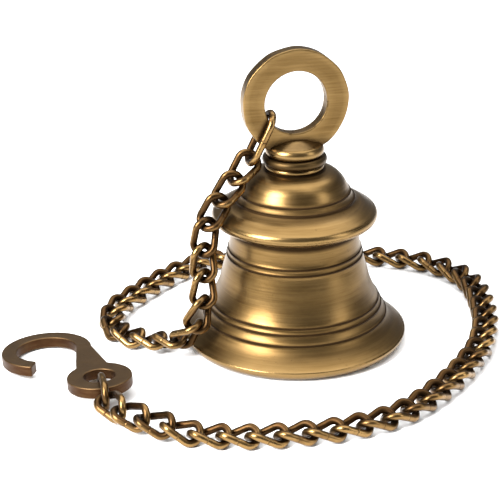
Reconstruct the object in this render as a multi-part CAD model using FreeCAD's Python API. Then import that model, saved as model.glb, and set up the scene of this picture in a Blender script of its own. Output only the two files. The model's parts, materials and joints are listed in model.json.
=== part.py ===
import FreeCAD, Part
import math
import os

# A temple bell of cast and turned brass. It stands on its rim, with its clapper hanging
# inside, a ring on its crown, and a curb chain that ends in a flat hook.
# Millimetres. +Z is up the bell's axis, and the origin is the centre of the rim's foot.

V = FreeCAD.Vector
UP = V(0, 0, 1)

# Shell: the turned outside, from the foot up
lip_radius = 48.0          # widest, at the lip
lip_height = 4.3           # height of the widest circle
foot_radius = 43.4         # outer edge of the flat that the bell stands on
foot_width = 2.4
waist_radius = 27.0        # under the flange
waist_height = 51.5
flange_radius = 35.2
flange_low = 54.3
flange_high = 59.2
dome_radius = 29.5         # foot of the dome, on the flange
dome_foot = 61.9
dome_top = 77.0
boss_radius = 12.4         # bead at the crown
boss_height = 2.4
wall = 3.2                 # at the waist and dome
crown_thick = 3.8          # from the ceiling to the dome's top
groove_radius = 0.55
groove_heights = [12.4, 16.4, 18.8, 39.4, 41.9, 64.3, 67.2]

# Shares of the way from waist to lip, (radius, height), down the flare
flare = [(0.0, 1.0), (0.033, 0.873), (0.09, 0.748), (0.186, 0.6), (0.281, 0.451), (0.414, 0.322),
         (0.486, 0.256), (0.593, 0.172), (0.714, 0.097), (0.871, 0.04), (1.0, 0.0)]
# Shares of the way from the crown's bead to the dome's foot, (radius, height)
dome = [(0.0, 1.0), (0.2, 0.945), (0.345, 0.865), (0.45, 0.76), (0.535, 0.63), (0.59, 0.5),
        (0.65, 0.36), (0.755, 0.165), (0.87, 0.06), (1.0, 0.0)]
# Shares of the inside of the waist and of the ceiling's height over it, (radius, height)
ceiling = [(0.97, 0.3), (0.93, 0.55), (0.85, 0.76), (0.70, 0.91), (0.5, 0.985), (0.36, 1.0)]

# Crown fittings
stem_radius = 4.5          # the ring's stem, down through the crown
stem_clearance = 0.1
seat_gap = 0.05            # between pieces that are pulled up tight
ferrule_radius = 13.7
ferrule_height = 3.75
collar_radius = 12.4
collar_height = 4.8
washer_radius = 8.0
washer_thick = 1.3
nut_width = 13.0           # across flats
nut_height = 4.2
stem_end = 1.6             # stem below the nut
thread_gap = 0.03

# Ring
ring_radius = 22.8
ring_hole_radius = 13.4
ring_thick = 6.0
ring_rise = 22.9           # ring's centre above the foot of its collar
ring_turn = 16.0           # degrees that the ring's face is turned about the bell's axis
ring_chamfer = 0.8

# Clapper, hung by an eye and a small link
eye_radius = 3.8           # middle of the eyes' wire
eye_wire = 1.2             # radius
eye_shank = 1.6
eye_drop = 7.0             # from the stem's end to the upper eye's centre
eye_shank_up = 8.0         # length of the shank inside the stem
small_link_wire = 1.0
small_link_half = 7.0      # half length of its centre line
small_link_side = 3.4
swing_gap = 0.15           # between wires that bear on each other
rod_radius = 1.5
ball_radius = 9.5
ball_height = 15.5         # ball's centre above the floor
ball_gap = 0.03
rivet_radius = 2.6
rivet_height = 1.2

# Chain
wire_radius = 1.55
pitch = 11.1               # from joint to joint
link_side = 4.8            # half width of a link's centre line
link_twist = 45.0          # degrees at each end
link_gap = 0.7             # between the wires of neighbours
butt_gap = 0.12            # where a link's wire ends meet
link_count = 56            # twisted links between the ring link and the hook link
first_pair = 20            # links from here on share a node two by two ...
last_pair = 38             # ... up to here, behind the bell and at its far side
lying_height = 3.62        # centre of a link that lies flat
ring_link_half = 11.25     # half length of the long link's centre line
ring_link_side = 5.4
ring_link_angle = 205.2    # where it bears on the ring, round the hole from the ring's right
ring_link_lean = 26.0      # degrees from plumb
ring_bearing_gap = 1.0
hook_link_half = 8.2
hook_link_side = 5.1

# Hook: a flat plate
plate = 4.5
disc_radius = 13.3
disc_hole_radius = 6.5
throat_radius = 12.6
strap = 6.3
hook_reach = 39.3          # from the hole's centre to the bend's centre
hook_link_turn = -24.0     # degrees from the last twisted link's line to the hook link's
hook_turn = 28.0           # degrees from the hook link's line to the hook's
neck_angle = 8.0           # where the neck leaves the bend
tip_angle = 259.0          # where the bend ends
bend_start = 131.4         # the line from the eye to the bend, on the same dial
hook_bearing_gap = 1.35

# Route of the chain: it leans out over the flange, hangs past it, and comes to the floor
# beside the lip. Each row is beyond (mm outside the named radius), azimuth in degrees,
# height over the named height.
over_dome = [(7.8, 203.2, -7.5), (15.9, 206.6, -15.5)]
over_flange = [(6.8, 208.8, -1.3), (8.7, 210.0, -11.8), (9.2, 211.5, -22.4), (10.6, 213.4, -32.4)]
beside_lip = [(0.9, 213.5, 14.1), (4.4, 209.7, 7.0), (8.9, 202.3, 2.5), (16.1, 194.6, 1.2)]
# Round the bell on the floor
lying = [(-71, -12), (-78, -4), (-81, 7), (-80, 18), (-76, 28), (-71, 36), (-66, 45), (-60, 54),
         (-53, 63), (-46, 70), (-38, 75), (-29, 78), (-19, 80), (-7, 81), (6, 82), (18, 82), (27, 81),
         (36, 80), (46, 77), (56, 75), (64, 71), (71, 65), (77, 58), (81, 49), (83, 39), (84, 28),
         (84, 17), (84, 6), (82, -5), (80, -16), (76, -27), (71, -38), (66, -48), (59, -59),
         (52, -69), (44, -78), (35, -85), (25, -90), (15, -94), (5, -96), (-5, -98), (-15, -99),
         (-26, -99), (-36, -98), (-46, -96), (-55, -92), (-64, -87), (-71, -81), (-76, -72),
         (-78, -62), (-79, -52), (-80, -42)]
# Links that lie tipped: link number, degrees about the chain's line
tipped = {}
# The last links stand up towards the hook: counted back from the hook link, degrees, lift
end_tips = [(4, -6, 1.85), (3, -18, 2.5), (2, -32, 2.8), (1, -45, 3.15)]
settling = 11              # links over which the hanging end turns to lie flat


def polar(radius, azimuth, z):
    a = math.radians(azimuth)
    return V(radius * math.cos(a), radius * math.sin(a), z)


def spline(points):
    curve = Part.BSplineCurve()
    curve.interpolate(points)
    return curve


def revolved(edges):
    """A solid of revolution about Z from edges that close a loop in the XZ plane."""
    return Part.Face(Part.Wire(edges)).revolve(V(0, 0, 0), UP, 360)


def line(a, b):
    return Part.LineSegment(a, b).toShape()


def arc(a, b, c):
    return Part.Arc(a, b, c).toShape()


def rz(radius, height):
    return V(radius, 0, height)


def tube(z_low, z_high, inner, outer):
    body = Part.makeCylinder(outer, z_high - z_low, V(0, 0, z_low))
    return body.cut(Part.makeCylinder(inner, z_high - z_low + 2, V(0, 0, z_low - 1)))


# Heights that pieces share
boss_top = dome_top + boss_height
ferrule_low = boss_top + seat_gap
ferrule_high = ferrule_low + ferrule_height
collar_low = ferrule_high + seat_gap
ring_height = collar_low + ring_rise
ceiling_height = dome_top - crown_thick
washer_high = ceiling_height - seat_gap
nut_high = washer_high - washer_thick - seat_gap
stem_low = nut_high - nut_height - stem_end
crown_hole = stem_radius + stem_clearance
eye_height = stem_low - eye_drop
upper_bearing = eye_height - eye_radius + eye_wire + swing_gap / 2
small_link_height = eye_height - eye_radius + eye_wire + swing_gap + small_link_wire - small_link_half
lower_bearing = small_link_height - small_link_half + small_link_wire + swing_gap / 2
clapper_eye = lower_bearing + swing_gap / 2 + eye_wire - eye_radius


def flare_points():
    rise = waist_height - lip_height
    reach = lip_radius - waist_radius
    return [(waist_radius + reach * r, lip_height + rise * h) for r, h in flare]


def dome_points():
    low = boss_radius - 0.4
    return [(low + (dome_radius - low) * r, dome_foot + (dome_top - dome_foot) * h) for r, h in dome]


def outside_radius(height):
    """Radius of the turned outside at a height on the flare or on the dome."""
    points = flare_points() if height < waist_height else dome_points()
    curve = spline([rz(r, z) for r, z in points])
    low, high = curve.FirstParameter, curve.LastParameter
    for _ in range(40):
        middle = (low + high) / 2
        if curve.value(middle).z > height:
            low = middle
        else:
            high = middle
    return curve.value(low).x


def bell_shell():
    out = [rz(r, z) for r, z in flare_points()]
    top = [rz(r, z) for r, z in dome_points()]
    foot_in = rz(foot_radius - foot_width, 0)
    foot_out = rz(foot_radius, 0)
    inner_waist = waist_radius - wall
    inside = [foot_in] + [p - V(wall, 0, 0) for p in reversed(out) if p.z > 1.8 * lip_height]
    inside += [rz(inner_waist * r, waist_height + (ceiling_height - waist_height) * h) for r, h in ceiling]
    low = boss_radius - 0.4
    edge_low = rz(flange_radius - 1.8, flange_low)
    edge_high = rz(flange_radius - 1.2, flange_high)
    step = rz(dome_radius + 1.3, dome_foot - 0.7)
    boss = [top[0], rz(low - 0.5, dome_top + 0.1), rz(low - 0.5, boss_top)]
    bead = arc(boss[1], rz(boss_radius, dome_top + boss_height / 2), boss[2])
    edges = [
        line(foot_in, foot_out),
        arc(foot_out, rz(lip_radius - 1.3, 0.3 * lip_height), out[-1]),
        spline(out).toShape(),
        line(out[0], edge_low),
        arc(edge_low, rz(flange_radius, (flange_low + flange_high) / 2), edge_high),
        line(edge_high, step),
        line(step, top[-1]),
        spline(top).toShape(),
        line(boss[0], boss[1]),
        bead,
        line(boss[2], rz(crown_hole, boss_top)),
        line(rz(crown_hole, boss_top), rz(crown_hole, ceiling_height)),
        line(rz(crown_hole, ceiling_height), inside[-1]),
        spline(inside).toShape(),
    ]
    shell = revolved(Part.__sortEdges__(edges))
    for height in groove_heights:
        shell = shell.cut(Part.makeTorus(outside_radius(height) + 0.1, groove_radius, V(0, 0, height)))
    return shell


def bead_ring(low, high, inner, outer):
    """A washer with a rounded outside."""
    edges = [line(rz(inner, low), rz(outer - 1.1, low)),
             arc(rz(outer - 1.1, low), rz(outer, (low + high) / 2), rz(outer - 1.1, high)),
             line(rz(outer - 1.1, high), rz(inner, high)),
             line(rz(inner, high), rz(inner, low))]
    return revolved(edges)


def ring_axes():
    """The ring's right, up and front directions."""
    a = math.radians(ring_turn)
    return V(math.cos(a), math.sin(a), 0), UP, V(math.sin(a), -math.cos(a), 0)


def suspension_ring():
    half, c = ring_thick / 2, ring_chamfer
    section = [(ring_hole_radius, -half + c), (ring_hole_radius + c, -half), (ring_radius - c, -half),
               (ring_radius, -half + c), (ring_radius, half - c), (ring_radius - c, half),
               (ring_hole_radius + c, half), (ring_hole_radius, half - c)]
    corners = [V(r, 0, h) for r, h in section]
    disc = revolved([line(a, b) for a, b in zip(corners, corners[1:] + corners[:1])])
    right, up, front = ring_axes()
    turn = FreeCAD.Rotation(right, up, front, "XYZ")
    disc.Placement = FreeCAD.Placement(V(0, 0, ring_height), turn)
    collar_high = collar_low + collar_height
    low = collar_radius - 0.9
    edges = [line(rz(0, collar_low), rz(low, collar_low)),
             arc(rz(low, collar_low), rz(collar_radius, collar_low + collar_height / 2),
                 rz(low - 0.6, collar_high)),
             line(rz(low - 0.6, collar_high), rz(low - 4.5, collar_high + 1.6)),
             line(rz(low - 4.5, collar_high + 1.6), rz(0, collar_high + 1.6)),
             line(rz(0, collar_high + 1.6), rz(0, collar_low))]
    collar = revolved(edges)
    collar = collar.common(Part.makeBox(60, 60, 30, V(-30, -30, collar_low)))
    hole = Part.makeCylinder(ring_hole_radius, 60, V(0, 0, ring_height) - front * 30, front)
    stem = Part.makeCylinder(stem_radius, collar_low + 1 - stem_low, V(0, 0, stem_low))
    body = collar.cut(hole).fuse(disc.common(Part.makeBox(80, 80, 80, V(-40, -40, collar_low)))).fuse(stem)
    bore = Part.makeCylinder(eye_shank + thread_gap, eye_shank_up + 1, V(0, 0, stem_low - 0.5))
    return body.cut(bore).removeSplitter()


def crown_nut():
    corner = nut_width / math.sqrt(3)
    points = [polar(corner, 60 * i, nut_high - nut_height) for i in range(7)]
    nut = Part.Face(Part.makePolygon(points)).extrude(V(0, 0, nut_height))
    return nut.cut(Part.makeCylinder(stem_radius + thread_gap, nut_height + 2, V(0, 0, nut_high - nut_height - 1)))


def wire_eye(centre_height, shank_radius, shank_low, shank_high):
    """A round eye in the YZ plane with its shank on the bell's axis."""
    eye = Part.makeTorus(eye_radius, eye_wire, V(0, 0, centre_height), V(1, 0, 0))
    shank = Part.makeCylinder(shank_radius, shank_high - shank_low, V(0, 0, shank_low))
    hole = Part.makeCylinder(eye_radius - eye_wire, 10, V(-5, 0, centre_height), V(1, 0, 0))
    return eye.fuse(shank.cut(hole)).removeSplitter()


def clapper_eyebolt():
    return wire_eye(eye_height, eye_shank, eye_height + eye_radius - 0.6, stem_low + eye_shank_up)


def clapper_rod():
    low = ball_height - ball_radius - rivet_height
    rod = wire_eye(clapper_eye, rod_radius, low, clapper_eye - eye_radius + 0.6)
    return rod.fuse(Part.makeCone(rivet_radius - 0.8, rivet_radius, rivet_height, V(0, 0, low))).removeSplitter()


def clapper_ball():
    ball = Part.makeSphere(ball_radius, V(0, 0, ball_height))
    low = ball_height - ball_radius
    ball = ball.cut(Part.makeCylinder(rod_radius + ball_gap, 2 * ball_radius + 4, V(0, 0, low - 2)))
    return ball.cut(Part.makeCylinder(ball_radius, 0.6, V(0, 0, low - 0.3)))


def oval_corners(half, side, twist):
    """Corners of a link's centre line, from the middle of one side round to it again."""
    straight = half - side
    reach = side / math.cos(math.radians(22.5))
    corners = []
    for centre, first in ((straight, -67.5), (-straight, 112.5)):
        for k in range(4):
            a = math.radians(first + 45 * k)
            x, y = centre + reach * math.cos(a), reach * math.sin(a)
            t = math.radians(twist * x / half)
            corners.append(V(x, y * math.cos(t), y * math.sin(t)))
    start = (corners[-1] + corners[0]) / 2
    step = (corners[0] - corners[-1]).normalize() * (butt_gap / 2)
    return [start + step] + corners + [start - step]


def rounded_wire(points):
    """Straight runs through the points, joined by tangent arcs."""
    trims = []
    for i in range(1, len(points) - 1):
        runs = [(points[i] - points[i - 1]).Length, (points[i + 1] - points[i]).Length]
        trims.append(0.45 * min(runs))
    edges, at = [], points[0]
    for corner, before, after, trim in zip(points[1:-1], points, points[2:], trims):
        back, on = (before - corner).normalize(), (after - corner).normalize()
        first, last = corner + back * trim, corner + on * trim
        half_turn = back.getAngle(on) / 2
        radius = trim * math.tan(half_turn)
        middle = corner + (back + on).normalize() * (radius / math.sin(half_turn) - radius)
        edges += [line(at, first), arc(first, middle, last)]
        at = last
    return Part.Wire(edges + [line(at, points[-1])])


def link_solid(half, side, twist):
    """One link of round wire, lying along X at the origin, its wire ends butted."""
    path = rounded_wire(oval_corners(half, side, twist))
    first = path.Edges[0]
    start = first.valueAt(first.FirstParameter)
    circle = Part.Circle(start, first.tangentAt(first.FirstParameter), wire_radius).toShape()
    return path.makePipeShell([Part.Wire([circle])], True, False)


def placement(centre, along, face):
    """Placement that turns X along a link and Z towards the side that its flat faces."""
    x = V(along).normalize()
    z = (face - x * face.dot(x)).normalize()
    return FreeCAD.Placement(centre, FreeCAD.Rotation(x, z.cross(x), z, "XYZ"))


def ring_link_frame():
    """Centre, line and face of the long link that hangs on the ring."""
    right, up, front = ring_axes()
    a = math.radians(ring_link_angle)
    bearing = ring_hole_radius - wire_radius - ring_bearing_gap
    top = V(0, 0, ring_height) + (right * math.cos(a) + up * math.sin(a)) * bearing
    lean = math.radians(ring_link_lean)
    along = right * -math.sin(lean) - up * math.cos(lean)
    return top + along * ring_link_half, along, front.cross(along)


def first_joint():
    centre, along, _ = ring_link_frame()
    return centre + along * (ring_link_half - wire_radius - link_gap / 2)


def route():
    """Points of the chain's line, from the ring link's foot."""
    start = first_joint()
    reach = math.hypot(start.x, start.y)
    points = [start] + [polar(reach + out, az, start.z + up) for out, az, up in over_dome]
    points += [polar(flange_radius + out, az, flange_high + up) for out, az, up in over_flange]
    points += [polar(lip_radius + out, az, lying_height + up) for out, az, up in beside_lip]
    return points + [V(x, y, lying_height) for x, y in lying]


def joints_on(points):
    """Joint points one pitch apart, straight across, along a smooth line."""
    curve = spline(points)
    at, joints = curve.FirstParameter, [curve.value(curve.FirstParameter)]
    step = (curve.LastParameter - curve.FirstParameter) / (40.0 * link_count)
    while len(joints) <= link_count:
        low = at
        while curve.value(low + step).distanceToPoint(joints[-1]) < pitch:
            low += step
            if low > curve.LastParameter:
                break
        high = low + step
        if low > curve.LastParameter:
            joints.append(joints[-1] + (joints[-1] - joints[-2]))
            continue
        for _ in range(30):
            middle = (low + high) / 2
            if curve.value(middle).distanceToPoint(joints[-1]) < pitch:
                low = middle
            else:
                high = middle
        at = high
        joints.append(curve.value(at))
    return joints


def raised(joints):
    """The same joints with the last ones lifted, where the links stand on edge at the hook."""
    out = list(joints)
    for back, _, lift in end_tips:
        i = len(out) - back
        out[i] = V(out[i].x, out[i].y, lying_height + lift)
    return out


def square(vector, along):
    """The part of a vector that is square to a direction, one long."""
    return (vector - along * vector.dot(along)).normalize()


def flat_faces(lines):
    """Way that each link's flat faces look: square to the ring link's wire at the start,
    carried along the chain, and turned evenly until the links lie flat."""
    wire = square(ring_axes()[2], lines[0])
    faces = [(lines[0].cross(wire) + wire).normalize()]
    for before, along in zip(lines, lines[1:settling]):
        faces.append(square(FreeCAD.Rotation(before, along).multVec(faces[-1]), along))
    last, flat = faces[-1], square(UP, lines[settling - 1])
    angle = math.degrees(math.atan2(last.cross(flat).dot(lines[settling - 1]), last.dot(flat)))
    angle = -((-angle) % 180.0)     # a link is the same turned half round; turn with its twist
    share = [angle * i / (settling - 1) for i in range(settling)]
    faces = [FreeCAD.Rotation(x, a).multVec(face) for x, a, face in zip(lines, share, faces)]
    return faces + [square(UP, along) for along in lines[settling:]]


def chain_frames():
    """Joints, and each link's (centre, line, face), from the ring link to the hook link."""
    joints = raised(joints_on(route()))
    lines = [V(b - a).normalize() for a, b in zip(joints, joints[1:])]
    tips = {link_count + 1 - back: angle for back, angle, _ in end_tips}
    frames = []
    for number, (along, face) in enumerate(zip(lines, flat_faces(lines)), 1):
        turn = tips.get(number, tipped.get(number, 0))
        middle = (joints[number - 1] + joints[number]) / 2
        frames.append((middle, along, FreeCAD.Rotation(along, turn).multVec(face)))
    return joints, frames


def hook_link_frame():
    """Centre, line and face of the plain link that stands on edge through the hook's eye."""
    joints, _ = chain_frames()
    flat = joints[-1] - joints[-2]
    along = FreeCAD.Rotation(UP, hook_link_turn).multVec(V(flat.x, flat.y, 0).normalize())
    near = joints[-1] - along * (wire_radius + link_gap / 2)
    centre = near + along * hook_link_half
    centre.z = joints[-1].z
    return centre, along, UP.cross(along)


def hook_placement():
    """The hook's own frame: X from its eye to its bend, Z square to the plate."""
    centre, along, _ = hook_link_frame()
    end = centre + along * hook_link_half
    bearing = wire_radius + hook_bearing_gap
    eye = end + along * (disc_hole_radius - bearing)
    heading = FreeCAD.Rotation(UP, hook_turn).multVec(along)
    rim = (disc_hole_radius + disc_radius) / 2 * math.cos(math.radians(hook_turn))
    fall = math.atan2(eye.z - plate / 2, hook_reach + throat_radius + strap + rim)
    eye.z -= rim * math.sin(fall)
    x = heading * math.cos(fall) - UP * math.sin(fall)
    y = UP.cross(heading)
    return FreeCAD.Placement(eye, FreeCAD.Rotation(x, y, x.cross(y), "XYZ"))


def hook():
    """Plate hook: a bend, a neck and an eye, flat in its own XY plane."""
    middle = throat_radius + strap / 2
    base = V(hook_reach, 0, -plate / 2)
    bend = Part.makeCylinder(throat_radius + strap, plate, base)
    bend = bend.cut(Part.makeCylinder(throat_radius, plate + 2, base - UP))
    far = 3 * (throat_radius + strap)

    def at(radius, angle):
        return V(hook_reach, 0, 0) + polar(radius, angle - bend_start, 0)

    keep = [V(hook_reach, 0, -plate)] + [at(far, a) - UP * plate for a in
                                         (neck_angle, 70, 130, 190, tip_angle)]
    keep.append(keep[0])
    bend = bend.common(Part.Face(Part.makePolygon(keep)).extrude(UP * (2 * plate)))
    root = at(middle, neck_angle)
    inner, outer = at(throat_radius - 0.15, neck_angle), at(throat_radius + strap + 0.15, neck_angle)
    side = V(-root.y, root.x, 0).normalize()
    low, high = sorted([V(0, 0, 0) + side * (0.72 * disc_radius), V(0, 0, 0) - side * (0.55 * disc_radius)],
                       key=lambda p: p.distanceToPoint(inner))
    waist = [inner + (low - inner) * 0.42 - (outer - inner) * 0.03, outer + (high - outer) * 0.45]
    web = [inner, waist[0], low, high, waist[1], outer, inner]
    neck = Part.Face(Part.makePolygon([p - UP * (plate / 2 + p.z) for p in web])).extrude(UP * plate)
    disc = Part.makeCylinder(disc_radius, plate, V(0, 0, -plate / 2))
    body = bend.fuse(neck).fuse(disc)
    body = body.cut(Part.makeCylinder(disc_hole_radius, plate + 2, V(0, 0, -plate / 2 - 1)))
    return body.removeSplitter()


def small_link():
    """The clapper's plain link, in the XZ plane, hanging in the upper eye."""
    path = rounded_wire(oval_corners(small_link_half, small_link_side, 0))
    first = path.Edges[0]
    start = first.valueAt(first.FirstParameter)
    circle = Part.Circle(start, first.tangentAt(first.FirstParameter), small_link_wire).toShape()
    link = path.makePipeShell([Part.Wire([circle])], True, False)
    link.Placement = placement(V(0, 0, small_link_height), V(0, 0, -1), V(0, 1, 0))
    return link


def link_groups():
    """Link numbers that share a node: one each, and two each along the far side."""
    groups, number = [], 1
    while number <= link_count:
        size = 2 if first_pair <= number < last_pair else 1
        groups.append(list(range(number, min(number + size, link_count + 1))))
        number += size
    return groups


def group_name(numbers):
    return "chain_link_" + "_".join("%02d" % n for n in numbers)


def chain_nodes():
    joints, frames = chain_frames()
    half = (pitch + link_gap) / 2 + wire_radius
    link = link_solid(half, link_side, link_twist)
    nodes = {}
    for numbers in link_groups():
        solids = []
        for n in numbers:
            copy = link.copy()
            copy.Placement = placement(*frames[n - 1])
            solids.append(copy)
        nodes[group_name(numbers)] = solids[0] if len(solids) == 1 else Part.makeCompound(solids)
    return nodes


def end_links():
    ring_link = link_solid(ring_link_half, ring_link_side, 0)
    ring_link.Placement = placement(*ring_link_frame())
    hook_link = link_solid(hook_link_half, hook_link_side, 0)
    hook_link.Placement = placement(*hook_link_frame())
    plate_hook = hook()
    plate_hook.Placement = hook_placement()
    return {"ring_link": ring_link, "hook_link": hook_link, "hook": plate_hook}


def all_nodes():
    nodes = {
        "bell_shell": bell_shell(),
        "suspension_ring": suspension_ring(),
        "neck_ferrule": bead_ring(ferrule_low, ferrule_high, crown_hole, ferrule_radius),
        "crown_washer": tube(washer_high - washer_thick, washer_high, crown_hole, washer_radius),
        "crown_nut": crown_nut(),
        "clapper_eyebolt": clapper_eyebolt(),
        "clapper_link": small_link(),
        "clapper_rod": clapper_rod(),
        "clapper_ball": clapper_ball(),
    }
    nodes.update(end_links())
    nodes.update(chain_nodes())
    return nodes


def main():
    os.makedirs("parts", exist_ok=True)
    for name, shape in all_nodes().items():
        shape.exportStep("parts/%s.step" % name)


if __name__ == "__main__":
    main()
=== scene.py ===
"""A small turned brass bell on a curb chain with a flat hook, built piece by piece."""
import json
import math

import bpy
import numpy as np
from mathutils import Matrix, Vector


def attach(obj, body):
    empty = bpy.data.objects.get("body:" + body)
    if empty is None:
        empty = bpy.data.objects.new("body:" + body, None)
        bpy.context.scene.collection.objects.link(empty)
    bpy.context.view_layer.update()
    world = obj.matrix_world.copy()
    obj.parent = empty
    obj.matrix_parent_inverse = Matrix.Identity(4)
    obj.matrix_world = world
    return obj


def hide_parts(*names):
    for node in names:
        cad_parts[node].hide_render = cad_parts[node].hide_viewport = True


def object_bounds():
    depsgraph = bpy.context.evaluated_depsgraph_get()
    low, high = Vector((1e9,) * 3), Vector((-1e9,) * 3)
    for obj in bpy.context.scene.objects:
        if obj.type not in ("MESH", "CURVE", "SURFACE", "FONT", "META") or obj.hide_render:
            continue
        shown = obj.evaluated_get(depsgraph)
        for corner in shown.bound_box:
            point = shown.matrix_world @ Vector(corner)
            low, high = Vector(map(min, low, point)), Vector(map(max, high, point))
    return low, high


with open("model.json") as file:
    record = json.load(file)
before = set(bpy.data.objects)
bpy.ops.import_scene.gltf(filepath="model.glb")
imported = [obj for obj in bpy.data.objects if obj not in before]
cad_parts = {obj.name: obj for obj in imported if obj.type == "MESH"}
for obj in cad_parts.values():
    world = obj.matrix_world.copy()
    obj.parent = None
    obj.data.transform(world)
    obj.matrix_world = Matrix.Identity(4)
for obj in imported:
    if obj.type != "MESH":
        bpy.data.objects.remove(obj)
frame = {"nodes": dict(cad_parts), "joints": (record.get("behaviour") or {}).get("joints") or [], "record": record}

bl_info = {
    "name": "Hanging Bell",
    "version": (1, 0, 0),
    "blender": (4, 5, 0),
    "location": "3D View > Sidebar > Bell",
    "description": "Builds a turned brass bell with its ring, chain, hook and clapper",
    "category": "Add Mesh",
}

CAD_BOX = [list(corner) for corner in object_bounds()]
MM = 0.001


# ---------------------------------------------------------------- sizes and colours

def size(name, description, millimetres):
    return bpy.props.FloatProperty(name=name, description=description, unit="LENGTH",
                                   default=millimetres * MM, precision=5)


def colour(name, description, red, green, blue):
    return bpy.props.FloatVectorProperty(name=name, description=description, subtype="COLOR",
                                         size=3, min=0, max=1, default=(red, green, blue))


def share(name, description, default):
    return bpy.props.FloatProperty(name=name, description=description, subtype="FACTOR",
                                   min=0, max=1, default=default)


class BellSizes(bpy.types.PropertyGroup):
    lip_radius: size("Lip radius", "Widest radius of the mouth", 48.0)
    lip_height: size("Lip height", "Height of the widest point of the lip", 4.3)
    foot_radius: size("Foot radius", "Outside of the flat that the bell stands on", 43.4)
    foot_width: size("Foot width", "Width of the flat that the bell stands on", 2.4)
    waist_radius: size("Waist radius", "Narrowest radius, under the flange", 27.0)
    waist_height: size("Waist height", "Height of the waist", 51.5)
    flange_radius: size("Flange radius", "Radius of the flange", 35.2)
    flange_low: size("Flange underside", "Height of the flange's lower corner", 54.3)
    flange_high: size("Flange top", "Height of the flange's upper corner", 59.2)
    dome_radius: size("Dome radius", "Radius at the foot of the dome", 29.5)
    dome_foot: size("Dome foot", "Height of the foot of the dome", 61.9)
    dome_top: size("Dome top", "Height of the top of the dome", 77.0)
    boss_radius: size("Crown bead radius", "Radius of the bead at the crown", 12.4)
    boss_height: size("Crown bead height", "Height of the bead at the crown", 2.4)
    wall: size("Wall", "Thickness of the wall", 3.2)
    crown_thick: size("Crown thickness", "From the ceiling to the dome's top", 3.8)
    groove_depth: size("Groove depth", "Depth of the turned grooves", 0.42)
    groove_width: size("Groove width", "Half width of the turned grooves", 0.42)


class CrownSizes(bpy.types.PropertyGroup):
    hole: size("Crown hole", "Radius of the hole through the crown", 4.6)
    stem: size("Stem radius", "Radius of the ring's stem", 4.5)
    ferrule_radius: size("Ferrule radius", "Radius of the dark bead under the collar", 13.7)
    ferrule_height: size("Ferrule height", "Height of the dark bead", 3.75)
    collar_radius: size("Collar radius", "Radius of the ring's collar", 12.4)
    collar_height: size("Collar height", "Height of the ring's collar", 4.8)
    stem_foot: size("Stem foot", "Height of the foot of the ring's stem", 66.0)
    seat: size("Seat gap", "Gap between pieces that are pulled up tight", 0.05)
    ring_radius: size("Ring radius", "Outer radius of the ring", 22.8)
    ring_hole: size("Ring hole", "Radius of the ring's hole", 13.4)
    ring_thick: size("Ring thickness", "Thickness of the ring", 6.0)
    ring_rise: size("Ring rise", "Ring's centre over the foot of its collar", 22.9)
    ring_turn: bpy.props.FloatProperty(
        name="Ring turn", description="Turn of the ring's face about the bell's axis",
        subtype="ANGLE", default=math.radians(16.0))
    ball_radius: size("Ball radius", "Radius of the clapper's ball", 9.5)
    ball_height: size("Ball height", "Height of the ball's centre", 15.5)
    rod_radius: size("Rod radius", "Radius of the clapper's rod", 1.5)
    rod_gap: size("Rod gap", "Gap between the rod and the ball's bore", 0.03)


class ChainSizes(bpy.types.PropertyGroup):
    wire: size("Wire radius", "Radius of the links' wire", 1.55)
    half: size("Link half length", "Half length of a link's centre line", 7.45)
    side: size("Link half width", "Half width of a link's centre line", 4.8)
    twist: bpy.props.FloatProperty(name="Twist", description="Twist at each end of a link",
                                   subtype="ANGLE", default=math.radians(45.0))
    ring_half: size("Ring link half length", "Half length of the long link on the ring", 11.25)
    ring_side: size("Ring link half width", "Half width of the long link on the ring", 5.4)
    hook_half: size("Hook link half length", "Half length of the link in the hook", 8.2)
    hook_side: size("Hook link half width", "Half width of the link in the hook", 5.1)
    small_wire: size("Small wire radius", "Radius of the clapper link's wire", 1.0)
    small_half: size("Small link half length", "Half length of the clapper's link", 7.0)
    small_side: size("Small link half width", "Half width of the clapper's link", 3.4)


class HookSizes(bpy.types.PropertyGroup):
    plate: size("Plate", "Thickness of the hook", 4.5)
    disc: size("Disc radius", "Radius of the round end with the hole", 13.3)
    hole: size("Hole radius", "Radius of the hole for the link", 6.5)
    throat: size("Throat radius", "Inner radius of the bend", 12.6)
    strap: size("Strap", "Width of the bend", 6.3)
    reach: size("Reach", "From the hole's centre to the bend's centre", 39.3)
    edge: size("Edge", "Rounding of the plate's edges", 0.45)


class BellColours(bpy.types.PropertyGroup):
    brass: colour("Brass", "Polished, aged brass of the bell", 0.110, 0.064, 0.021)
    bright: colour("Bright brass", "Brass where it is rubbed clean", 0.235, 0.148, 0.057)
    # This colour is also painted shade: over the bell's inside, in its corners under the flange and on the chain
    # links' inner sides.
    patina_and_shade: colour("Patina", "Brown patina in hollows and grooves", 0.018, 0.009, 0.004)
    chain: colour("Chain", "Darkened brass of the chain", 0.055, 0.029, 0.011)
    chain_worn: colour("Worn chain", "Chain where it is rubbed", 0.225, 0.135, 0.050)
    hook: colour("Hook", "Dull brass of the hook", 0.120, 0.073, 0.034)
    hook_side: colour("Hook sides", "Reddish brown of the hook's edges", 0.045, 0.019, 0.008)
    floor: colour("Floor", "Pale floor", 0.93, 0.93, 0.93)
    # This share also sets how dark the painted shade is, as well as the patina and tarnish.
    darkness: share("Age", "How dark the patina has grown", 0.62)


# ---------------------------------------------------------------- surfaces from numbers

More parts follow.
